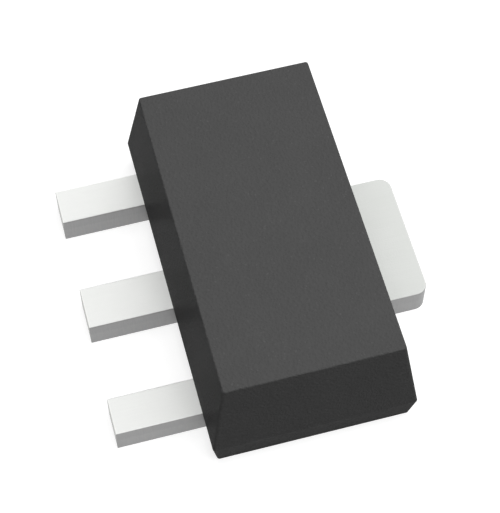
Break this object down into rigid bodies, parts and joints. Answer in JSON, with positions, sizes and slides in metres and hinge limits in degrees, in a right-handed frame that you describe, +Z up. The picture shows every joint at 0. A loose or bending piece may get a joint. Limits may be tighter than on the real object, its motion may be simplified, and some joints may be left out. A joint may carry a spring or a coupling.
{
  "type": "surface-mount transistor",
  "caption": "Flat surface-mount power transistor: a moulded block with flush leads along one side and a wide heat-sink tab, joined to the middle lead, on the other.",
  "frame": {"origin": "centre of the moulded body, on the seating plane, where the collector frame's exposed underside lies", "axes": "+Z up from the seating plane, +X along the body's length from the base lead to the emitter lead, +Y from the leads to the heat tab"},
  "size_m": [0.0044, 0.0042, 0.0016],
  "materials": {
    "moulding_compound": "dark grey silica-filled epoxy, spark-eroded mould texture, no marking",
    "tinned_copper": "stamped copper alloy strip with matte tin plating",
    "die_solder": "high-lead solder",
    "silicon": "polished silicon with aluminium contacts",
    "bond_wire": "bright drawn wire"
  },
  "bodies": {
    "root": {"mould_body": "moulding_compound", "collector_frame": "tinned_copper", "base_lead": "tinned_copper", "emitter_lead": "tinned_copper", "die_attach": "die_solder", "silicon_die": "silicon", "base_wire": "bond_wire", "emitter_wire_1": "bond_wire", "emitter_wire_2": "bond_wire"}
  },
  "joints": []
}
